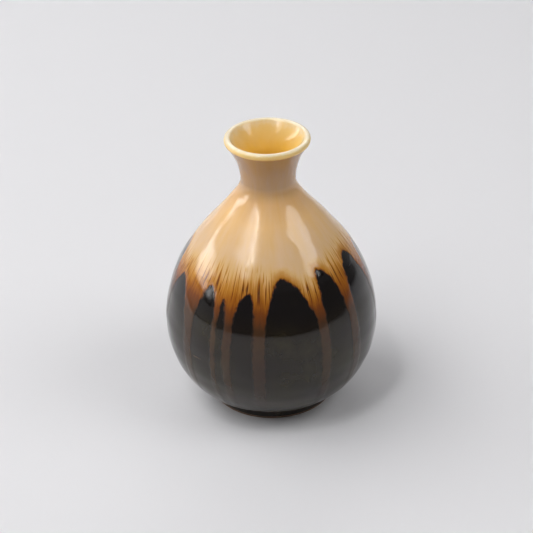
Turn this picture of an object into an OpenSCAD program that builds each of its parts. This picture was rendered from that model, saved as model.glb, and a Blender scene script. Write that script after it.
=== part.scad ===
// Round-bellied sake bottle: stoneware thrown in three pieces and covered in four coats of glaze.
// The base curve is the outside of the glazed bottle, from the foot up to the lip.
// Every shell below is cut from that curve and its offsets, so neighbours share their faces.

/* [Overall] */
// Height from the table to the top of the lip
height = 130; // [108:1:156]
// Widest outside diameter of the belly, over the glaze
belly_d = 96; // [80:1:116]
// Height of the widest ring above the table
belly_z = 40.5; // [34:0.5:49]

/* [Neck and mouth] */
// Outside diameter of the waist of the neck, over the glaze
neck_d = 24.8; // [21:0.2:30]
// Distance from the top of the lip down to the waist
neck_drop = 20.4; // [17:0.2:25]
// Outside diameter of the mouth, over the glaze
mouth_d = 37.8; // [32:0.2:46]
// Thickness of the rolled lip, over the glaze
lip_t = 3.1; // [2.6:0.1:4.2]

/* [Clay] */
// Thickness of the clay wall at the widest ring
belly_wall = 3.6; // [2.8:0.1:4.6]
// Thickness of the clay wall at the waist of the neck
neck_wall = 2.8; // [2.2:0.1:3.6]
// Thickness of the clay floor
floor_t = 4.6; // [3.6:0.1:6]
// Distance from the waist of the neck down to the seam where the neck is luted to the belly
neck_seam_drop = 13.6; // [8:0.2:20]

/* [Foot ring] */
// Outside diameter of the bare foot ring
foot_d = 55.6; // [46:0.4:66]
// Height of the foot ring
foot_h = 4; // [3:0.5:6]
// Width of the foot ring, from its outside to its inside
foot_w = 5.2; // [4:0.2:7]
// Chamfer turned on both edges of the foot ring
foot_chamfer = 0.8; // [0.4:0.1:1.2]

/* [Glaze] */
// Thickness of every coat of glaze
glaze_t = 0.4; // [0.3:0.05:0.6]
// Height of the line where the cream coat meets the dark coat
glaze_line_z = 76; // [60:1:92]
// Height over which the cream coat laps down onto the dark coat
glaze_lap = 5; // [3:0.5:8]
// How far a run stands proud of the dark coat
run_t = 0.35; // [0.2:0.05:0.5]
// Height of the band wiped clean of glaze above the chamfer of the foot ring
bare_foot = 0.4; // [0.2:0.1:1.2]

/* [Curve of the pot] */
// Slope of the wall where it leaves the foot ring, in degrees above level
foot_slope = 28; // [20:1:45]
// Fullness of the wall just above the foot ring
foot_fullness = 0.29; // [0.2:0.01:0.45]
// Fullness of the belly below its widest ring
low_fullness = 0.56; // [0.4:0.01:0.7]
// Fullness of the belly above its widest ring
shoulder_fullness = 0.525; // [0.4:0.005:0.65]
// Sweep of the shoulder into the waist
neck_sweep = 0.17; // [0.1:0.01:0.3]
// Slope of the flared mouth where it meets the lip, in degrees above level
flare_slope = 57; // [45:1:70]
// Angle round the lip at which the neck meets it, in degrees below level
lip_seat = 50; // [35:1:60]

/* [Hidden] */
$fn = 96;

steps = 20;          // even steps along each stretch of curve, and along each half of the lip
flare_sweep = 0.5;   // share of the mouth's height taken by the sweep out of the waist
flare_lead = 0.2;    // share of the mouth's height taken by the straight run into the lip
floor_inset = 12.6;  // from the outside of the foot ring in to the flat middle of the floor
floor_sweep = 0.62;  // how fully the floor turns up into the wall

// The runs of glaze, each with its direction from the front, its width in degrees
// and how far it fell below the glaze line.
runs = [
    [-51, 8, 54], [-31, 2.5, 24], [-24, 6, 49], [-7, 6, 50], [30, 6, 43], [51.5, 7, 46],
    [83, 7, 52], [104, 5, 42], [125, 8, 54], [148, 5, 38], [168, 7, 49],
    [-170, 5, 44], [-149, 8, 52], [-127, 5, 36], [-108, 7, 48], [-84, 5, 42],
];

foot_r = foot_d / 2;
belly_r = belly_d / 2;
neck_r = neck_d / 2;
neck_z = height - neck_drop;
lip_r = lip_t / 2;
lip_centre = [mouth_d / 2 - lip_r, height - lip_r];
floor_r = foot_r - floor_inset;
floor_z = foot_h + floor_t;
flare_in = 90 + flare_slope;  // angle round the lip at which the inside of the neck meets it

// A point at a distance and an angle.
function polar(r, a) = [r * cos(a), r * sin(a)];

// Point and outward normal of a cubic Bezier curve p at t from 0 to 1.
function bezier(p, t) = let (u = 1 - t)
    u * u * u * p[0] + 3 * u * u * t * p[1] + 3 * u * t * t * p[2] + t * t * t * p[3];
function bezier_normal(p, t) = let (
        u = 1 - t,
        d = u * u * (p[1] - p[0]) + 2 * u * t * (p[2] - p[1]) + t * t * (p[3] - p[2])
    ) [d[1], -d[0]] / norm(d);

// The outside: foot ring to belly, belly to waist, and waist to lip.
foot_point = [foot_r + glaze_t, foot_h];
belly_point = [belly_r, belly_z];
waist_point = [neck_r, neck_z];
seat_point = lip_centre + polar(lip_r, -lip_seat);
low_rise = belly_z - foot_h;
high_rise = neck_z - belly_z;
mouth_rise = seat_point[1] - neck_z;
outside = [
    [foot_point, foot_point + polar(foot_fullness * low_rise, foot_slope),
     belly_point - [0, low_fullness * low_rise], belly_point],
    [belly_point, belly_point + [0, shoulder_fullness * high_rise],
     waist_point - [0, neck_sweep * high_rise], waist_point],
    [waist_point, waist_point + [0, flare_sweep * mouth_rise],
     seat_point - polar(flare_lead * mouth_rise, flare_slope), seat_point],
];
function outside_at(t) = let (k = min(floor(t), 2)) bezier(outside[k], t - k);
function outside_normal(t) = let (k = min(floor(t), 2)) bezier_normal(outside[k], t - k);

// The place along the outside, above the belly, that lies at height z, found by halving.
function place_at(z, low = 1, high = 2, turns = 24) = let (middle = (low + high) / 2)
    turns == 0 ? middle
    : outside_at(middle)[1] < z ? place_at(z, middle, high, turns - 1)
    : place_at(z, low, middle, turns - 1);

// Places run from 0 at the foot over 1 at the belly and 2 at the waist to 3 at the lip.
// A coat or a clay piece starts and ends at a station, and the other places are even steps.
lap_low = place_at(glaze_line_z - glaze_lap / 2);
lap_high = place_at(glaze_line_z + glaze_lap / 2);
seam = place_at(neck_z - neck_seam_drop);
stations = [0, 1, 2, 3, lap_low, lap_high, seam];
function clear_of_stations(t) = min([for (station = stations) abs(station - t)]) > 0.3 / steps;
function sorted(list) = len(list) == 0 ? [] : let (pivot = list[floor(len(list) / 2)]) concat(
    sorted([for (entry = list) if (entry < pivot) entry]),
    pivot,
    sorted([for (entry = list) if (entry > pivot) entry])
);
places = sorted(concat(
    stations,
    [for (i = [1 : 3 * steps - 1]) if (clear_of_stations(i / steps)) i / steps]
));
function index_of(station) = search(station, places)[0];
FOOT = 0;
LAP_LOW = index_of(lap_low);
LAP_HIGH = index_of(lap_high);
SEAM = index_of(seam);
LIP = len(places) - 1;

// The outside curve moved outwards by d: 0 is the glaze, -glaze_t the clay.
function skin(d, t) = outside_at(t) + d * outside_normal(t);

// The inside of the clay: floor to belly, belly to waist, and waist to lip.
inner_belly = [belly_r - glaze_t - belly_wall, belly_z];
inner_waist = [neck_r - glaze_t - neck_wall, neck_z];
inner_seat = lip_centre + polar(lip_r - glaze_t, flare_in);
inner_floor = [floor_r, floor_z];
bowl = [inner_floor, inner_floor + [floor_sweep * (inner_belly[0] - floor_r), 0],
        inner_belly - [0, low_fullness * low_rise], inner_belly];
funnel = [inner_waist, inner_waist + [0, flare_sweep * mouth_rise],
          inner_seat - polar(flare_lead * mouth_rise, flare_slope), inner_seat];
function wall_at(t) = belly_wall + (neck_wall - belly_wall) * (t - 1);

// The inside curve moved outwards by d: 0 is the clay, -glaze_t the liner.
function inside(d, t) =
    t <= 1 ? bezier(bowl, t) + d * bezier_normal(bowl, t)
    : t <= 2 ? skin(d - glaze_t - wall_at(t), t)
    : bezier(funnel, t - 2) + d * bezier_normal(funnel, t - 2);

// Stretches of those curves between two stations, upwards or downwards.
function up(d, from, to) = [for (i = [from : to]) skin(d, places[i])];
function down(d, from, to) = [for (i = [from : -1 : to]) skin(d, places[i])];
function inside_up(d, from, to) = [for (i = [from : to]) inside(d, places[i])];
function inside_down(d, from, to) = [for (i = [from : -1 : to]) inside(d, places[i])];

// The rounded edge of the lip at radius r, from the outside over the top to the inside.
function lip_over(r) = [
    for (i = [0 : steps - 1]) lip_centre + polar(r, -lip_seat + (90 + lip_seat) * i / steps),
    for (i = [0 : steps]) lip_centre + polar(r, 90 + (flare_in - 90) * i / steps)
];
function reversed(points) = [for (i = [len(points) - 1 : -1 : 0]) points[i]];

// Thrown clay globe with its floor, cut off where the neck is luted on.
module belly() color("#8c6f56") rotate_extrude()
    polygon(concat(
        [[0, foot_h], [foot_r, foot_h]],
        up(-glaze_t, FOOT, SEAM),
        inside_down(0, SEAM, FOOT),
        [[0, floor_z]]
    ));

// Thrown clay collar: the top of the shoulder, the waist, the flared mouth and its rolled lip.
module neck() color("#94775c") rotate_extrude()
    polygon(concat(
        up(-glaze_t, SEAM, LIP),
        lip_over(lip_r - glaze_t),
        inside_down(0, LIP - 1, SEAM)
    ));

// Turned ring that the bottle stands on, luted to the underside of the belly.
module foot_ring() color("#7b614b") rotate_extrude()
    let (inner_r = foot_r - foot_w)
    polygon([
        [inner_r, foot_h], [inner_r, foot_chamfer], [inner_r + foot_chamfer, 0],
        [foot_r - foot_chamfer, 0], [foot_r, foot_chamfer], [foot_r, foot_h],
    ]);

// Black-brown coat over the foot ring and the belly, feathered out under the cream coat.
module dark_glaze() color("#1c1715") rotate_extrude()
    let (stop_z = foot_chamfer + bare_foot)
    polygon(concat(
        [[foot_r, stop_z], [foot_r + glaze_t, stop_z]],
        up(0, FOOT, LAP_LOW),
        down(-glaze_t, LAP_HIGH, FOOT),
        [[foot_r, foot_h]]
    ));

// Cream coat over the shoulder and neck, feathered out over the dark coat.
module cream_glaze() color("#d9b483") rotate_extrude()
    polygon(concat(
        up(0, LAP_LOW, LIP),
        [lip_centre + polar(lip_r - glaze_t, -lip_seat)],
        down(-glaze_t, LIP, LAP_HIGH)
    ));

// Tongues of the cream coat that ran down over the dark coat, each a solid of its own.
module glaze_runs() color("#8a4a1c")
    for (run = runs)
        let (
            tip_z = glaze_line_z - run[2],
            TIP = [for (i = [FOOT : LAP_LOW - 1]) if (skin(0, places[i])[1] >= tip_z) i][0]
        )
        rotate([0, 0, run[0] - run[1] / 2 - 90])
        rotate_extrude(angle = run[1])
        polygon(concat(up(run_t, TIP, LAP_LOW), down(0, LAP_LOW, TIP)));

// Honey-coloured bead of glaze rolled over the lip.
module lip_glaze() color("#e6c27c") rotate_extrude()
    polygon(concat(lip_over(lip_r), reversed(lip_over(lip_r - glaze_t))));

// Honey-coloured coat that lines the whole inside, so that the clay doesn't soak up sake.
module liner_glaze() color("#d9a344") rotate_extrude()
    polygon(concat(
        [[0, floor_z]],
        inside_up(0, FOOT, LIP),
        inside_down(-glaze_t, LIP, FOOT),
        [[0, floor_z + glaze_t]]
    ));

belly();
neck();
foot_ring();
dark_glaze();
cream_glaze();
glaze_runs();
lip_glaze();
liner_glaze();
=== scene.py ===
"""A stoneware sake bottle: thrown clay under dark, cream and honey glazes that ran together."""

import math

import bmesh
import bpy
import numpy as np
from mathutils import Matrix, Vector


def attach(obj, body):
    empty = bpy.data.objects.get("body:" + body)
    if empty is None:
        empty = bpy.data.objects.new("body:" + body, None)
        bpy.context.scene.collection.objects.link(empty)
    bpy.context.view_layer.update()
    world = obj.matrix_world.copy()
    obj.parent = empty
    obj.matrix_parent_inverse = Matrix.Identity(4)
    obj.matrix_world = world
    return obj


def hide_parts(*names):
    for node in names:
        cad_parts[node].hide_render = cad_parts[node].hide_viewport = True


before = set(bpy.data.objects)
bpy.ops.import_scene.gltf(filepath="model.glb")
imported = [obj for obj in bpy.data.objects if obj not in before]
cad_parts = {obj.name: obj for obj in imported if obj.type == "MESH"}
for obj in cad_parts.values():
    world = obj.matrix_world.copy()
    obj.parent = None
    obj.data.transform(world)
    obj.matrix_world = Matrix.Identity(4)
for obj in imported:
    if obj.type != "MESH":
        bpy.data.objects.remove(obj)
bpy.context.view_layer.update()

MM = 0.001

# Sizes of the pot in millimetres. The curve below is the outside of the glazed bottle.
HEIGHT = 130.0
BELLY_R = 48.0
BELLY_Z = 40.5
NECK_R = 12.4
NECK_Z = HEIGHT - 20.4
MOUTH_R = 18.9
LIP_R = 1.55
FOOT_R = 27.8
FOOT_H = 4.0
FOOT_W = 5.2
GLAZE_T = 0.4
BELLY_WALL = 3.6
NECK_WALL = 2.8
FLOOR_R = 15.2
FLOOR_Z = FOOT_H + 4.6
NECK_SEAM_Z = NECK_Z - 13.6
LAP_LOW_Z = 73.5
LAP_HIGH_Z = 78.5
BARE_FOOT_Z = 1.2

# Slopes of the curve and places round the lip, in degrees above level.
FOOT_SLOPE = 28
FLARE_SLOPE = 57
LIP_SEAT = -50
LIP_INSIDE = 90 + FLARE_SLOPE

# How far the curve holds its direction at its joins, as shares of the rise to the next join.
FOOT_FULLNESS = 0.29
LOW_FULLNESS = 0.56
SHOULDER_FULLNESS = 0.525
NECK_SWEEP = 0.17
FLARE_SWEEP = 0.5
FLARE_LEAD = 0.2
FLOOR_SWEEP = 0.62  # a share of the way out to the wall

AROUND = 320        # steps round the coats of glaze
HIDDEN_STEP = 0.08  # spacing of places along faces that stay hidden
FINE_STEP = 0.02    # spacing of places along faces that show
CLAY_AROUND = 240   # steps round the clay pieces
LINER_AROUND = 288  # steps round the glaze inside


# ---------------------------------------------------------------- the curve of the pot

def polar(radius, degrees):
    """A point at a distance and an angle, as (radius, height)."""
    angle = math.radians(degrees)
    return np.array((radius * math.cos(angle), radius * math.sin(angle)))


LIP_CENTRE = np.array((MOUTH_R - LIP_R, HEIGHT - LIP_R))


def stretches(start, start_lead, belly, waist, seat):
    """Three Bezier curves: foot or floor to belly, belly to waist, and waist to lip."""
    low_rise = BELLY_Z - FOOT_H
    high_rise = NECK_Z - BELLY_Z
    mouth_rise = seat[1] - NECK_Z
    up = np.array((0.0, 1.0))
    return [
        (start, start + start_lead, belly - up * LOW_FULLNESS * low_rise, belly),
        (belly, belly + up * SHOULDER_FULLNESS * high_rise,
         waist - up * NECK_SWEEP * high_rise, waist),
        (waist, waist + up * FLARE_SWEEP * mouth_rise,
         seat - polar(FLARE_LEAD * mouth_rise, FLARE_SLOPE), seat),
    ]


OUTSIDE = stretches(
    np.array((FOOT_R + GLAZE_T, FOOT_H)),
    polar(FOOT_FULLNESS * (BELLY_Z - FOOT_H), FOOT_SLOPE),
    np.array((BELLY_R, BELLY_Z)),
    np.array((NECK_R, NECK_Z)),
    LIP_CENTRE + polar(LIP_R, LIP_SEAT),
)
CLAY_INSIDE = stretches(
    np.array((FLOOR_R, FLOOR_Z)),
    np.array((FLOOR_SWEEP * (BELLY_R - GLAZE_T - BELLY_WALL - FLOOR_R), 0.0)),
    np.array((BELLY_R - GLAZE_T - BELLY_WALL, BELLY_Z)),
    np.array((NECK_R - GLAZE_T - NECK_WALL, NECK_Z)),
    LIP_CENTRE + polar(LIP_R - GLAZE_T, LIP_INSIDE),
)


def on_curve(curve, place):
    """Point and outward normal at a place: 0 is the foot, 1 the belly, 2 the waist, 3 the lip."""
    part = min(int(place), 2)
    a, b, c, d = curve[part]
    t = place - part
    u = 1.0 - t
    point = u**3 * a + 3 * u * u * t * b + 3 * u * t * t * c + t**3 * d
    slope = u * u * (b - a) + 2 * u * t * (c - b) + t * t * (d - c)
    normal = np.array((slope[1], -slope[0])) / np.hypot(*slope)
    return point, normal


def skin(place, lift=0.0):
    """A point on the outside of the bottle, moved outwards by lift, and its normal."""
    point, normal = on_curve(OUTSIDE, place)
    return point + lift * normal, normal


def lining(place, lift=0.0):
    """A point on the inside of the clay, moved towards the clay by lift, and its normal."""
    if 1.0 < place < 2.0:
        wall = BELLY_WALL + (NECK_WALL - BELLY_WALL) * (place - 1.0)
        return skin(place, lift - GLAZE_T - wall)
    point, normal = on_curve(CLAY_INSIDE, place)
    return point + lift * normal, normal


def place_at(height):
    """The place above the belly where the outside has this height."""
    low, high = 1.0, 2.0
    for _ in range(30):
        middle = (low + high) / 2
        if on_curve(OUTSIDE, middle)[0][1] < height:
            low = middle
        else:
            high = middle
    return low


LAP_LOW = place_at(LAP_LOW_Z)
LAP_HIGH = place_at(LAP_HIGH_Z)
NECK_SEAM = place_at(NECK_SEAM_Z)


def places(start, end, step):
    """Evenly spaced places from start to end, both included."""
    count = max(1, round(abs(end - start) / step))
    return np.linspace(start, end, count + 1)


# ------------------------------------------------------------ the way the glaze ran

# Each bare tongue of the dark coat, between two runs: left edge, tip and right edge in degrees
# from the front, the height of the tip, the height where its sides turn straight, and how full
# its left and right shoulders are, where 1 is a straight slope.
TONGUES = [
    (-81, -73, -55.5, 69.5, 44, 1.5, 1.9),
    (-49, -41.5, -35.5, 72.5, 56, 1.5, 2.2),
    (-32, -30, -28, 69, 57, 1.3, 1.6),
    (-22.5, -14, -10.8, 72.3, 58, 2.2, 2.6),
    (-3.5, 7.5, 27, 78, 56, 1.75, 1.75),
    (33, 36, 48.2, 78.5, 57, 3.0, 2.2),
    (55.2, 69, 80, 78.5, 54, 2.2, 2.0),
    (87, 95, 101.5, 75, 56, 1.7, 1.9),
    (106.5, 114, 121, 79, 58, 2.0, 1.5),
    (129.5, 137, 145.5, 73, 52, 1.6, 2.1),
    (150.5, 157, 164, 77, 57, 1.9, 1.6),
    (172, 180, 187, 74, 54, 1.5, 2.0),
    (192.5, 200, 207, 78, 57, 2.1, 1.7),
    (215, 222, 230.5, 75, 55, 1.6, 1.8),
    (235.5, 240, 248, 71, 56, 2.0, 1.6),
    (256, 262, 273, 77, 56, 1.8, 2.2),
]


# How much lower the cream reaches, in mm, at directions round the pot.
CREAM_REACH = [
    (-180, 0.0), (-150, 2.0), (-118, -2.0), (-90, 3.0), (-62, 2.5), (-45, 0.0), (-28, -0.5),
    (0, 1.0), (22, 4.5), (34, 3.0), (48, -1.0), (64, -3.0), (84, -2.0), (110, 1.0), (140, -3.0),
    (165, 2.0), (180, 0.0),
]


def reach_at(azimuth):
    """How much lower than usual the cream reaches in each direction."""
    degrees, reach = np.array(CREAM_REACH).T
    return np.interp(azimuth, degrees, reach)


def tongue_outline(tongue):
    """Points up a tongue's left side, over its tip and down its right side, in degrees and mm."""
    left, tip, right, top, spring, left_full, right_full = tongue
    rise = np.linspace(0.0, 1.0, 25)
    climb = np.sin(rise * math.pi / 2)
    reach_left = (1.0 - climb**left_full) ** (1.0 / left_full)
    reach_right = (1.0 - climb**right_full) ** (1.0 / right_full)
    heights = spring + climb * (top - spring)
    left_side = np.column_stack((tip - (tip - left) * reach_left, heights))
    right_side = np.column_stack((tip + (right - tip) * reach_right, heights))
    foot_left = np.array(((left, 0.0),))
    foot_right = np.array(((right, 0.0),))
    return np.vstack((foot_left, left_side, right_side[-2::-1], foot_right))


def cover_at(azimuth, height, radius):
    """Distance in mm from the edge of the nearest dark tongue, above 0 where cream glaze covers."""
    nearest = np.full(azimuth.shape, 40.0)
    inside = np.zeros(azimuth.shape, bool)
    mm_per_degree = math.radians(1.0) * radius
    for tongue in TONGUES:
        outline = tongue_outline(tongue)
        middle = (tongue[0] + tongue[2]) / 2
        turned = (azimuth - middle + 180.0) % 360.0 - 180.0 + middle
        close = np.abs(turned - middle) < (tongue[2] - tongue[0]) / 2 + 30
        x, z, scale = turned[close], height[close], mm_per_degree[close]
        best = nearest[close]
        for (x0, z0), (x1, z1) in zip(outline[:-1], outline[1:]):
            dx, dz = (x1 - x0) * scale, z1 - z0
            px, pz = (x - x0) * scale, z - z0
            along = np.clip((px * dx + pz * dz) / np.maximum(dx * dx + dz * dz, 1e-9), 0, 1)
            best = np.minimum(best, np.hypot(px - along * dx, pz - along * dz))
        nearest[close] = best
        climbing = outline[:, 0]
        crest = np.interp(x, climbing, outline[:, 1], left=-1.0, right=-1.0)
        inside[close] |= z < crest
    return np.where(inside, -nearest, nearest)


# Gentle waves that a hand leaves on a thrown wall: turns round the pot, waves per mm up the
# wall, height in mm and phase.
rng = np.random.default_rng(7)
WAVES = [
    (int(rng.integers(0, 9)), float(rng.uniform(0.01, 0.09)), float(rng.uniform(0.012, 0.03)),
     float(rng.uniform(0, 2 * math.pi)))
    for _ in range(14)
]
WAVE_DEPTH = 0.12

# The step between a run and the dark tongue beside it: its height, half its width, and where the
# runs end and come to their full thickness, in mm.
RUN_STEP = 0.16
RUN_EDGE = 0.9
RUN_END_Z = 14.0
RUN_FULL_Z = 34.0


def relief_at(azimuth, height):
    """How far the wall lies inside the even curve, in mm, at a direction and a height."""
    swell = np.zeros(np.shape(azimuth))
    for turns, rate, size, phase in WAVES:
        angle = turns * np.radians(azimuth) + 2 * math.pi * rate * height + phase
        swell = swell + size * np.cos(angle)
    throwing = 0.02 * np.cos(2 * math.pi * (height / 7.0 + azimuth / 360.0))
    return np.minimum(swell + throwing - WAVE_DEPTH, 0.0)


def sunk_at(cover, height):
    """How far the dark tongues lie below the runs, in mm. The runs thin out low on the belly."""
    inside = np.clip((RUN_EDGE - cover) / (2 * RUN_EDGE), 0.0, 1.0)
    run = np.clip((height - RUN_END_Z) / (RUN_FULL_Z - RUN_END_Z), 0.0, 1.0)
    return RUN_STEP * run * inside * inside * (3.0 - 2.0 * inside)


def no_relief(azimuth, height):
    """The wall of a piece that follows its curve exactly."""
    return np.zeros(np.shape(azimuth))


# ------------------------------------------------------------------------ mesh making

def section_point(point, normal, shows):
    """One point of a section: radius, height, its normal, and 1 on the face that shows or else 0."""
    return (point[0], point[1], normal[0], normal[1], shows)


def fine_face(curve_point, start, end, lift=0.0, step=FINE_STEP):
    """Section points along a face that shows."""
    return [section_point(*curve_point(place, lift), 1.0) for place in places(start, end, step)]


def hidden_face(curve_point, start, end, lift):
    """Section points along a face that another piece covers."""
    spots = places(start, end, HIDDEN_STEP)
    return [section_point(*curve_point(place, lift), 0.0) for place in spots]


def lip_arc(radius, start, end, count, shows):
    """Points round the rolled lip, by angle above level."""
    return [
        section_point(LIP_CENTRE + polar(radius, a), polar(1.0, a), shows)
        for a in np.linspace(start, end, count)
    ]


def spun(name, section, steps=AROUND):
    """Spin a closed section round the axis, from the back of the bottle to the back again."""
    bm = bmesh.new()
    chain = [bm.verts.new((0.0, r * MM, z * MM)) for r, z, *_ in section]
    edges = [bm.edges.new(pair) for pair in zip(chain[:-1], chain[1:])]
    edges.append(bm.edges.new((chain[-1], chain[0])))
    bmesh.ops.spin(
        bm, geom=chain + edges, cent=(0, 0, 0), axis=(0, 0, 1), dvec=(0, 0, 0),
        angle=2 * math.pi, steps=steps, use_merge=True, use_duplicate=False,
    )
    bmesh.ops.remove_doubles(bm, verts=bm.verts, dist=1e-7)
    bmesh.ops.dissolve_degenerate(bm, edges=bm.edges, dist=1e-8)
    bmesh.ops.recalc_face_normals(bm, faces=bm.faces)
    mesh = bpy.data.meshes.new(name)
    bm.to_mesh(mesh)
    bm.free()
    piece = bpy.data.objects.new(name, mesh)
    bpy.context.scene.collection.objects.link(piece)
    mesh.shade_smooth()
    return piece


def read_points(mesh):
    """The mesh's points in mm, as an array."""
    points = np.empty(len(mesh.vertices) * 3, np.float32)
    mesh.vertices.foreach_get("co", points)
    return points.reshape(-1, 3).astype(float) / MM


def match_section(mesh, section):
    """For every point of a spun mesh, its direction from the front and its row in the section."""
    points = read_points(mesh)
    radius = np.hypot(points[:, 0], points[:, 1])
    azimuth = np.degrees(np.arctan2(points[:, 0], -points[:, 1]))
    table = np.array(section)
    rows = np.empty(len(points), int)
    for start in range(0, len(points), 4096):
        part = slice(start, start + 4096)
        sideways = radius[part, None] - table[None, :, 0]
        upwards = points[part, 2, None] - table[None, :, 1]
        rows[part] = (sideways**2 + upwards**2).argmin(1)
    return azimuth, rows


def set_attribute(mesh, name, kind, values):
    """Store one value or vector for every vertex."""
    field = "vector" if kind == "FLOAT_VECTOR" else "value"
    layer = mesh.attributes.new(name, kind, "POINT")
    layer.data.foreach_set(field, np.ascontiguousarray(values, np.float32).ravel())


def directions(azimuth, radial, rise):
    """Vectors that point outwards by radial and upwards by rise at these directions."""
    angle = np.radians(azimuth)
    return np.column_stack((radial * np.sin(angle), -radial * np.cos(angle), rise))


def finish_coat(piece, section, relief=relief_at):
    """Give a spun coat its relief, its even normals and the fields that its glaze is drawn from."""
    mesh = piece.data
    azimuth, rows = match_section(mesh, section)
    table = np.array(section)
    radius, height, normal_r, normal_z, shows = table[rows].T
    outward = directions(azimuth, normal_r, normal_z)
    cover = cover_at(azimuth, height, np.maximum(radius, 1.0))
    depth = relief(azimuth, height) * shows
    if relief is relief_at:
        depth -= sunk_at(cover, height) * shows
    points = directions(azimuth, radius, height) + outward * depth[:, None]
    mesh.vertices.foreach_set("co", (points * MM).astype(np.float32).ravel())

    turn, rise = 0.2, 0.1
    around = directions(azimuth + 90.0, np.ones_like(radius), np.zeros_like(radius))
    upward = directions(azimuth, -normal_z, normal_r)
    slope_around = (relief(azimuth + turn, height) - relief(azimuth - turn, height)) / (
        2 * math.radians(turn) * np.maximum(radius, 1.0))
    slope_up = (relief(azimuth, height + rise) - relief(azimuth, height - rise)) / (
        2 * rise) * normal_r
    normals = outward - around * slope_around[:, None] - upward * slope_up[:, None]
    normals /= np.linalg.norm(normals, axis=1)[:, None]
    normals *= (shows > 0.5)[:, None]
    mesh.normals_split_custom_set_from_vertices(normals.tolist())

    set_attribute(mesh, "cover", "FLOAT", cover)
    set_attribute(mesh, "reach", "FLOAT", reach_at(azimuth))
    flow = directions(azimuth, np.full_like(radius, BELLY_R), height)
    set_attribute(mesh, "flow", "FLOAT_VECTOR", flow)
    mesh.update()
    return piece


# -------------------------------------------------------------------------- materials

def add(tree, kind, values=None, **settings):
    """Add a node, and give each of its inputs a value or link a socket to it."""
    made = tree.nodes.new("ShaderNode" + kind)
    for name, setting in settings.items():
        setattr(made, name, setting)
    for name, value in (values or {}).items():
        if isinstance(value, bpy.types.NodeSocket):
            tree.links.new(value, made.inputs[name])
        else:
            made.inputs[name].default_value = value
    return made


def calc(tree, operation, first, second=0.0):
    """A Math node's result."""
    made = add(tree, "Math", {0: first, 1: second}, operation=operation)
    return made.outputs[0]


def spread(tree, value, from_low, from_high, to_low=0.0, to_high=1.0, smooth=False):
    """A Map Range node's result, kept within its ends."""
    made = add(tree, "MapRange", {"Value": value, "From Min": from_low, "From Max": from_high,
                                  "To Min": to_low, "To Max": to_high},
               interpolation_type="SMOOTHSTEP" if smooth else "LINEAR")
    return made.outputs[0]


def centred(tree, value):
    """Noise moved down so that it swings evenly about 0."""
    return calc(tree, "SUBTRACT", value, 0.5)


def times(tree, value, factor):
    """One value times another."""
    return calc(tree, "MULTIPLY", value, factor)


def total(tree, *values):
    """The sum of values."""
    result = values[0]
    for value in values[1:]:
        result = calc(tree, "ADD", result, value)
    return result


def ramp(tree, factor, stops):
    """A colour ramp through stops, each a place and a colour or a grey."""
    made = add(tree, "ValToRGB", {"Fac": factor})
    elements = made.color_ramp.elements
    while len(elements) < len(stops):
        elements.new(0.5)
    for element, (place, colour) in zip(elements, stops):
        element.position = place
        rgb = colour if isinstance(colour, tuple) else (colour, colour, colour)
        element.color = (*rgb, 1.0)
    return made.outputs["Color"]


def scaled(tree, vector, scale):
    """A vector scaled on each axis."""
    made = add(tree, "VectorMath", {0: vector, 1: scale}, operation="MULTIPLY")
    return made.outputs[0]


def speckle(tree, vector, scale, detail=3.0, rough=0.5, bend=0.0):
    """Noise from about 0.2 to 0.8."""
    made = add(tree, "TexNoise", {"Vector": vector, "Scale": scale, "Detail": detail,
                                  "Roughness": rough, "Distortion": bend})
    return made.outputs["Fac"]


def mixed(tree, factor, first, second, blend="MIX"):
    """A mix of two colours."""
    made = add(tree, "Mix", {"Factor": factor}, data_type="RGBA", blend_type=blend)
    for socket, value in ((made.inputs[6], first), (made.inputs[7], second)):
        if isinstance(value, bpy.types.NodeSocket):
            tree.links.new(value, socket)
        else:
            socket.default_value = (*value, 1.0)
    return made.outputs[2]


def new_material(name):
    """A material, its node tree and its shader."""
    material = bpy.data.materials.new(name)
    material.use_nodes = True
    tree = material.node_tree
    shader = tree.nodes["Principled BSDF"]
    return material, tree, shader


def object_mm(tree):
    """Object coordinates in mm."""
    place = add(tree, "TexCoord").outputs["Object"]
    return scaled(tree, place, (1 / MM, 1 / MM, 1 / MM))


def bump(tree, shader, height, strength, distance_mm):
    """Shade a surface as if it rose and fell with height."""
    made = add(tree, "Bump", {"Height": height, "Strength": strength, "Distance": distance_mm * MM})
    tree.links.new(made.outputs["Normal"], shader.inputs["Normal"])


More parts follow.
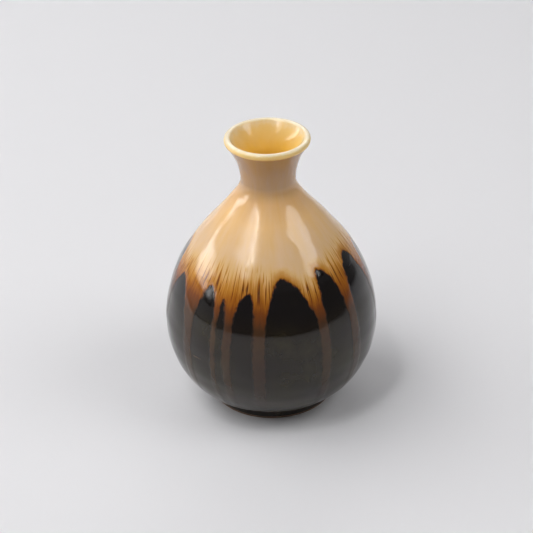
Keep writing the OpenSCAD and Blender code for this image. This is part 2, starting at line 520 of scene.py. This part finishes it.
def running_glaze(name, gloss):
    """Cream glaze that thins through amber and rust to the black-brown glaze beneath."""
    material, tree, shader = new_material(name)
    here = object_mm(tree)
    height = add(tree, "SeparateXYZ", {"Vector": here}).outputs["Z"]
    flow = add(tree, "Attribute", attribute_name="flow").outputs["Vector"]
    cover = add(tree, "Attribute", attribute_name="cover").outputs["Fac"]
    reach = add(tree, "Attribute", attribute_name="reach").outputs["Fac"]

    # Noise drawn out down the wall: broad streaks, fine threads and slow drift.
    streaks = centred(tree, speckle(tree, scaled(tree, flow, (0.7, 0.7, 0.06)), 1.0, 2.0, 0.55, 0.3))
    threads = centred(tree, speckle(tree, scaled(tree, flow, (1.8, 1.8, 0.14)), 1.0, 2.0, 0.6, 0.3))
    drift = centred(tree, speckle(tree, scaled(tree, flow, (0.06, 0.06, 0.04)), 1.0, 2.0))
    curds = centred(tree, speckle(tree, here, 0.35, 3.0))

    # The cream coat's thickness falls with height, and wanders near its edge.
    near_edge = ramp(tree, spread(tree, height, 60.0, 100.0), [
        (0.0, 0.4), (0.35, 1.0), (0.6, 1.0), (0.9, 0.0),
    ])
    wander = total(tree, times(tree, streaks, 9.0), times(tree, threads, 6.0),
                   times(tree, drift, 8.0))
    sunk = calc(tree, "MULTIPLY", reach, spread(tree, height, 64.0, 74.0))
    level = total(tree, height, sunk, calc(tree, "MULTIPLY", wander, near_edge))
    fall = ramp(tree, calc(tree, "DIVIDE", level, HEIGHT), [
        (z / HEIGHT, amount) for z, amount in (
            (12, 0.0), (21, 0.11), (34, 0.13), (50, 0.16), (58, 0.20), (65, 0.31), (70, 0.44),
            (74, 0.56), (78, 0.80), (83, 0.97), (88, 1.0))
    ])
    # Hair lines where the coat has split as it ran.
    hairs = speckle(tree, scaled(tree, flow, (1.0, 1.0, 0.09)), 1.0, 1.0, 0.5, 0.3)
    split = ramp(tree, spread(tree, calc(tree, "ADD", height, sunk), 66.0, 90.0), [
        (0.08, 0.0), (0.32, 0.31), (0.52, 0.31), (0.78, 0.0),
    ])
    strands = calc(tree, "MULTIPLY", spread(tree, hairs, 0.46, 0.33, smooth=True), split)
    fall = calc(tree, "SUBTRACT", fall, strands)

    # It is thin beside the tongues and gone inside them.
    ragged = total(tree, cover, times(tree, curds, 2.2), times(tree, streaks, 1.2))
    fringe = spread(tree, ragged, 0.0, 5.0, 0.42, 1.0)
    border = spread(tree, ragged, -0.5, 0.8, smooth=True)
    thickness = calc(tree, "MULTIPLY", calc(tree, "MINIMUM", fall, fringe), border)

    colour = ramp(tree, thickness, [
        (0.0, (0.0080, 0.0062, 0.0060)),
        (0.10, (0.022, 0.013, 0.010)),
        (0.20, (0.066, 0.030, 0.015)),
        (0.32, (0.200, 0.056, 0.009)),
        (0.43, (0.370, 0.125, 0.011)),
        (0.55, (0.540, 0.240, 0.036)),
        (0.70, (0.670, 0.360, 0.105)),
        (0.85, (0.780, 0.505, 0.220)),
        (1.0, (0.805, 0.550, 0.305)),
    ])
    clouds = speckle(tree, scaled(tree, flow, (0.09, 0.09, 0.05)), 1.0, 4.0, 0.6)
    tint = mixed(tree, spread(tree, clouds, 0.35, 0.65), (1.0, 0.95, 0.82), (1.0, 1.0, 1.08))
    colour = mixed(tree, 1.0, colour, tint, "MULTIPLY")
    # Faint olive clouds in the dark glaze.
    olive = mixed(tree, spread(tree, speckle(tree, here, 0.055, 5.0, 0.6), 0.42, 0.68),
                  (0.006, 0.003, 0.0), (0.020, 0.016, 0.003))
    colour = mixed(tree, spread(tree, height, 66.0, 50.0, smooth=True), colour,
                   mixed(tree, 1.0, colour, olive, "ADD"))
    # Painted light by height: the upper shoulder is made lighter and yellower as if lit from above,
    # and the neck under the lip is darkened with painted shade; part of the neck's brown is its
    # thinner glaze.
    height_tone_and_painted_light = ramp(tree, spread(tree, height, 80.0, HEIGHT), [
        (0.10, (1.0, 1.0, 1.0)),
        (0.32, (1.12, 1.06, 0.90)),
        (0.47, (1.03, 0.93, 0.76)),
        (0.60, (0.64, 0.565, 0.48)),
        (0.80, (0.585, 0.495, 0.40)),
        (1.0, (0.53, 0.43, 0.31)),
    ])
    colour = mixed(tree, 1.0, colour, height_tone_and_painted_light, "MULTIPLY")
    tree.links.new(colour, shader.inputs["Base Color"])

    shader.inputs["IOR"].default_value = gloss
    rough = spread(tree, speckle(tree, here, 0.25, 3.0), 0.3, 0.7, 0.03, 0.06)
    tree.links.new(rough, shader.inputs["Roughness"])
    step = spread(tree, ragged, -0.8, 1.6, smooth=True)
    ripple = times(tree, speckle(tree, here, 0.5, 2.0), 0.10)
    lift = total(tree, step, ripple, times(tree, threads, 0.10))
    bump(tree, shader, lift, 0.6, 0.22)
    return material


def honey_glaze():
    """Thin pale glaze over the lip, warm where it pools."""
    material, tree, shader = new_material("honey_glaze")
    here = object_mm(tree)
    height = add(tree, "SeparateXYZ", {"Vector": here}).outputs["Z"]
    cloud = speckle(tree, scaled(tree, here, (0.35, 0.35, 0.6)), 1.0, 4.0, 0.6)
    level = calc(tree, "ADD", height, times(tree, centred(tree, cloud), 1.4))
    colour = ramp(tree, spread(tree, level, HEIGHT - 2 * LIP_R, HEIGHT), [
        (0.0, (0.66, 0.37, 0.09)),
        (0.30, (0.93, 0.58, 0.16)),
        (0.7, (0.97, 0.69, 0.26)),
        (1.0, (0.96, 0.84, 0.62)),
    ])
    tree.links.new(colour, shader.inputs["Base Color"])
    shader.inputs["IOR"].default_value = 1.65
    shader.inputs["Roughness"].default_value = 0.11
    bump(tree, shader, speckle(tree, here, 0.6, 2.0), 0.12, 0.10)
    return material


def liner_glaze():
    """Amber glaze inside, deeper towards the throat."""
    material, tree, shader = new_material("liner_glaze")
    here = object_mm(tree)
    height = add(tree, "SeparateXYZ", {"Vector": here}).outputs["Z"]
    cloud = speckle(tree, scaled(tree, here, (0.25, 0.25, 0.12)), 1.0, 4.0, 0.6)
    level = calc(tree, "ADD", height, times(tree, centred(tree, cloud), 6.0))
    colour = ramp(tree, spread(tree, level, 100.0, HEIGHT), [
        (0.0, (0.42, 0.17, 0.012)),
        (0.35, (0.74, 0.38, 0.025)),
        (0.65, (0.89, 0.55, 0.10)),
        (0.9, (0.93, 0.64, 0.24)),
        (1.0, (0.94, 0.76, 0.48)),
    ])
    tree.links.new(colour, shader.inputs["Base Color"])
    shader.inputs["IOR"].default_value = 1.55
    shader.inputs["Roughness"].default_value = 0.035
    bump(tree, shader, speckle(tree, here, 0.4, 2.0), 0.12, 0.12)
    return material


def fired_clay():
    """Bare stoneware: brown, rough, with dark iron specks and pale grit."""
    material, tree, shader = new_material("fired_clay")
    here = object_mm(tree)
    cloud = speckle(tree, here, 0.12, 5.0, 0.6)
    colour = ramp(tree, cloud, [(0.3, (0.115, 0.066, 0.040)), (0.7, (0.215, 0.135, 0.085))])
    iron = spread(tree, speckle(tree, here, 1.6, 2.0), 0.66, 0.74)
    colour = mixed(tree, iron, colour, (0.03, 0.018, 0.012))
    grit = spread(tree, speckle(tree, here, 2.3, 1.0), 0.70, 0.76)
    colour = mixed(tree, grit, colour, (0.42, 0.33, 0.24))
    tree.links.new(colour, shader.inputs["Base Color"])
    rough = spread(tree, cloud, 0.3, 0.7, 0.62, 0.85)
    tree.links.new(rough, shader.inputs["Roughness"])
    bump(tree, shader, speckle(tree, here, 1.3, 6.0, 0.65), 0.6, 0.25)
    return material


# ---------------------------------------------------------------------------- pieces

def put_on(piece, material, slot, *nodes):
    """Give a piece its material and its place on the bottle, and hide the nodes it stands for; slot
    is not used.
    """
    piece.data.materials.append(material)
    if nodes:
        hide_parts(*nodes)
    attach(piece, "root")


def dark_coat(material):
    """Black-brown coat over the belly and the outside of the foot ring, with a rounded lower edge."""
    outer_r = FOOT_R + GLAZE_T
    outwards = (1.0, 0.0)
    corner = np.array((outer_r, FOOT_H))
    below_corner = np.array((outer_r, FOOT_H - 0.9))
    past_corner = 0.022  # the place where the curve leaves the rounded corner over the ring
    section = [section_point((FOOT_R, BARE_FOOT_Z + 0.1), outwards, 0.0)]
    for angle in (-60, -30, 0):
        roll = polar(GLAZE_T, angle)
        section.append(section_point(
            (FOOT_R + roll[0], BARE_FOOT_Z + GLAZE_T + roll[1]), polar(1.0, angle), 1.0))
    for height in np.linspace(BARE_FOOT_Z + 0.8, FOOT_H - 0.9, 4):
        section.append(section_point((outer_r, height), outwards, 1.0))
    start = skin(past_corner)[0]
    for t in (0.25, 0.5, 0.75):
        u = 1 - t
        point = u * u * below_corner + 2 * u * t * corner + t * t * start
        slope = u * (corner - below_corner) + t * (start - corner)
        normal = np.array((slope[1], -slope[0])) / np.hypot(*slope)
        section.append(section_point(point, normal, 1.0))
    section += fine_face(skin, past_corner, 1.0)
    section += fine_face(skin, 1.0, LAP_LOW)[1:]
    section += hidden_face(skin, LAP_HIGH, 0.0, -GLAZE_T)
    piece = finish_coat(spun("dark_coat", section), section)
    put_on(piece, material, "dark_glaze", "dark_glaze", "glaze_runs")


def cream_coat(material):
    """Cream coat over the shoulder and neck."""
    section = fine_face(skin, LAP_LOW, 2.0) + fine_face(skin, 2.0, 3.0, step=2 * FINE_STEP)[1:]
    section.append(section_point(LIP_CENTRE + polar(LIP_R - GLAZE_T, LIP_SEAT), (1.0, 0.0), 0.0))
    section += hidden_face(skin, 3.0, LAP_HIGH, -GLAZE_T)
    piece = finish_coat(spun("cream_coat", section), section)
    put_on(piece, material, "cream_glaze", "cream_glaze")


def lip_bead(material):
    """Bead of honey glaze rolled over the lip."""
    section = lip_arc(LIP_R, LIP_SEAT, LIP_INSIDE, 41, 1.0)
    section += lip_arc(LIP_R - GLAZE_T, LIP_INSIDE, LIP_SEAT, 13, 0.0)
    piece = finish_coat(spun("lip_bead", section), section, relief=no_relief)
    put_on(piece, material, "honey_glaze", "lip_glaze")


def inner_coat(material):
    """Amber glaze over the whole inside."""
    section = [section_point((0.0, FLOOR_Z + GLAZE_T), (0.0, -1.0), 1.0)]
    section += fine_face(lining, 0.0, 2.0, -GLAZE_T, 2 * FINE_STEP)
    section += fine_face(lining, 2.0, 3.0, -GLAZE_T, 2 * FINE_STEP)[1:]
    section = [(r, z, -nr, -nz, shows) for r, z, nr, nz, shows in section]
    section += hidden_face(lining, 3.0, 0.0, 0.0)
    section.append(section_point((0.0, FLOOR_Z), (0.0, -1.0), 0.0))
    piece = finish_coat(spun("inner_coat", section, LINER_AROUND), section, relief=no_relief)
    put_on(piece, material, "liner_glaze", "liner_glaze")


def clay_globe(material):
    """Clay of the belly, with the rings that the turning tool left under the foot."""
    section = [section_point((0.0, FOOT_H), (0.0, -1.0), 0.0)]
    inner_r = FOOT_R - FOOT_W
    for radius in np.linspace(0.4, inner_r, 90):
        ring = 1 + math.cos(2 * math.pi * radius / 1.7)
        groove = 0.10 * ring * (0.6 + 0.4 * math.cos(radius * 0.9))
        section.append(section_point((radius, FOOT_H + groove), (0.0, -1.0), 0.0))
    section.append(section_point((FOOT_R, FOOT_H), (0.0, -1.0), 0.0))
    section += hidden_face(skin, 0.0, NECK_SEAM, -GLAZE_T)
    section += hidden_face(lining, NECK_SEAM, 0.0, 0.0)
    section.append(section_point((0.0, FLOOR_Z), (0.0, 1.0), 0.0))
    piece = spun("clay_globe", section, CLAY_AROUND)
    put_on(piece, material, "stoneware", "belly")


def turned_foot(material):
    """Turned foot ring with softened edges and fine tool marks."""
    inner_r = FOOT_R - FOOT_W
    chamfer = 0.8
    inner_corner = np.array((inner_r + chamfer, chamfer))
    outer_corner = np.array((FOOT_R - chamfer, chamfer))
    section = [(inner_r, FOOT_H), (inner_r, chamfer)]
    for angle in np.linspace(180, 270, 7)[1:]:
        section.append(inner_corner + polar(chamfer, angle))
    for step in range(1, 12):
        radius = inner_r + chamfer + (FOOT_W - 2 * chamfer) * step / 12
        section.append((radius, 0.05 * (step % 2)))
    for angle in np.linspace(270, 360, 7):
        section.append(outer_corner + polar(chamfer, angle))
    section.append((FOOT_R, FOOT_H))
    section = [section_point(point, (0.0, 0.0), 0.0) for point in section]
    piece = spun("turned_foot", section, CLAY_AROUND)
    put_on(piece, material, "stoneware", "foot_ring")


# ------------------------------------------------------------------- stage and camera

LIT_POINT = Vector((0.0, 0.0, 0.08))  # the middle of the bottle, which every light faces


def toward(azimuth, elevation, distance):
    """A point seen from the bottle in this direction, in degrees from the front and above level."""
    around, above = math.radians(azimuth), math.radians(elevation)
    flat = distance * math.cos(above)
    return LIT_POINT + Vector((flat * math.sin(around), -flat * math.cos(around),
                               distance * math.sin(above)))


def soft_box(name, azimuth, elevation, distance, width, height, strength, edge, turn=0.0, taper=0.0):
    """A card of light facing the bottle, which fades at its edges and may taper to its foot."""
    bm = bmesh.new()
    bmesh.ops.create_grid(bm, x_segments=1, y_segments=1, size=0.5)
    bmesh.ops.scale(bm, vec=(width, height, 1.0), verts=bm.verts)
    mesh = bpy.data.meshes.new(name)
    bm.to_mesh(mesh)
    bm.free()
    card = bpy.data.objects.new(name, mesh)
    centre = toward(azimuth, elevation, distance)
    aimed = (centre - LIT_POINT).to_track_quat("Z", "Y")
    card.matrix_world = (Matrix.Translation(centre) @ aimed.to_matrix().to_4x4()
                         @ Matrix.Rotation(math.radians(turn), 4, "Z"))
    bpy.context.scene.collection.objects.link(card)

    material = bpy.data.materials.new(name)
    material.use_nodes = True
    tree = material.node_tree
    tree.nodes.clear()
    here = add(tree, "SeparateXYZ", {"Vector": add(tree, "TexCoord").outputs["Object"]})
    below = calc(tree, "MAXIMUM", times(tree, here.outputs["Y"], -taper * width / height), 0.0)
    aside = calc(tree, "ADD", calc(tree, "ABSOLUTE", here.outputs["X"]), below)
    across = spread(tree, aside, width / 2, width / 2 - edge, smooth=True)
    upright = calc(tree, "ABSOLUTE", here.outputs["Y"])
    along = spread(tree, upright, height / 2, height / 2 - edge, smooth=True)
    shape = calc(tree, "MULTIPLY", across, along)
    glow = add(tree, "Emission", {"Strength": times(tree, shape, strength)})
    clear = add(tree, "BsdfTransparent")
    lit_side = add(tree, "NewGeometry").outputs["Backfacing"]
    shown = add(tree, "MixShader", {0: lit_side, 1: clear.outputs[0], 2: glow.outputs[0]})
    output = add(tree, "OutputMaterial", {"Surface": shown.outputs[0]})
    output.is_active_output = True
    mesh.materials.append(material)


def set_room():
    """A room that is dim in front of the table and pale behind it and to its left."""
    world = bpy.data.worlds.new("room")
    bpy.context.scene.world = world
    world.use_nodes = True
    tree = world.node_tree
    way = add(tree, "SeparateXYZ", {"Vector": add(tree, "TexCoord").outputs["Generated"]})
    lean = total(tree, way.outputs["Y"], times(tree, way.outputs["X"], -0.7))
    pale = spread(tree, lean, -0.35, 0.75, smooth=True)
    low = spread(tree, way.outputs["Z"], 0.75, 0.15, 0.25, 1.0, smooth=True)
    glow = spread(tree, calc(tree, "MULTIPLY", pale, low), 0.0, 1.0, 0.10, 0.50)
    tree.links.new(glow, tree.nodes["Background"].inputs["Strength"])
    tree.nodes["Background"].inputs["Color"].default_value = (1.0, 0.99, 1.0, 1.0)


def set_stage():
    """Pale table and soft boxes in a quiet room."""
    bm = bmesh.new()
    bmesh.ops.create_grid(bm, x_segments=1, y_segments=1, size=4.0)
    mesh = bpy.data.meshes.new("table")
    bm.to_mesh(mesh)
    bm.free()
    table = bpy.data.objects.new("table", mesh)
    bpy.context.scene.collection.objects.link(table)
    material, tree, shader = new_material("table_top")
    shader.inputs["Base Color"].default_value = (0.80, 0.795, 0.815, 1.0)
    shader.inputs["Roughness"].default_value = 0.6
    shader.inputs["Specular IOR Level"].default_value = 0.2
    mesh.materials.append(material)

    # Direction in degrees, distance, width and height in metres, strength, and fading edge.
    soft_box("lamp", -44, 64, 1.5, 0.34, 0.34, 27.0, 0.06)
    soft_box("overhead", -80, 68, 1.55, 1.6, 1.3, 1.6, 0.6)
    soft_box("left_box", -86, 53, 1.35, 2.5, 0.90, 3.3, 0.34)
    soft_box("left_glow", -40, 50, 1.26, 0.14, 0.60, 7.0, 0.06)
    soft_box("left_strip", -34, 52, 1.25, 0.03, 0.44, 18.0, 0.01)
    soft_box("right_window", 75, 43, 1.5, 1.15, 0.9, 2.7, 0.02, turn=-26, taper=0.75)
    soft_box("left_wall", -97, 14, 1.5, 1.4, 0.56, 4.5, 0.25)
    soft_box("back_box", 186, 36, 1.4, 1.2, 0.22, 6.0, 0.08)
    set_room()


def set_camera():
    """Camera above the front of the bottle, tilted a little."""
    distance, elevation, roll = 0.864, math.radians(31.92), math.radians(-1.45)
    middle = Vector((0.0, 0.0, 0.048))
    away = Vector((0.0, -math.cos(elevation), math.sin(elevation)))
    eye = middle + away * distance
    camera = bpy.data.objects.new("camera", bpy.data.cameras.new("camera"))
    camera.data.sensor_width = 36.0
    camera.data.lens = 128.4
    camera.data.clip_start = 0.05
    up = Vector((0.0, math.sin(elevation), math.cos(elevation)))
    aim = middle + Vector((-0.0017, 0.0, 0.0)) + up * 0.0138
    look = (aim - eye).to_track_quat("-Z", "Y")
    camera.matrix_world = (Matrix.Translation(eye) @ look.to_matrix().to_4x4()
                           @ Matrix.Rotation(roll, 4, "Z"))
    bpy.context.scene.collection.objects.link(camera)
    bpy.context.scene.camera = camera
    bpy.context.scene.view_settings.view_transform = "Standard"


set_camera()
set_stage()
clay = fired_clay()
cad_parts["neck"].data.materials.clear()
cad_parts["neck"].data.materials.append(clay)
dark_coat(running_glaze("dark_running_glaze", 1.47))
cream_coat(running_glaze("cream_running_glaze", 1.62))
lip_bead(honey_glaze())
inner_coat(liner_glaze())
clay_globe(clay)
turned_foot(clay)
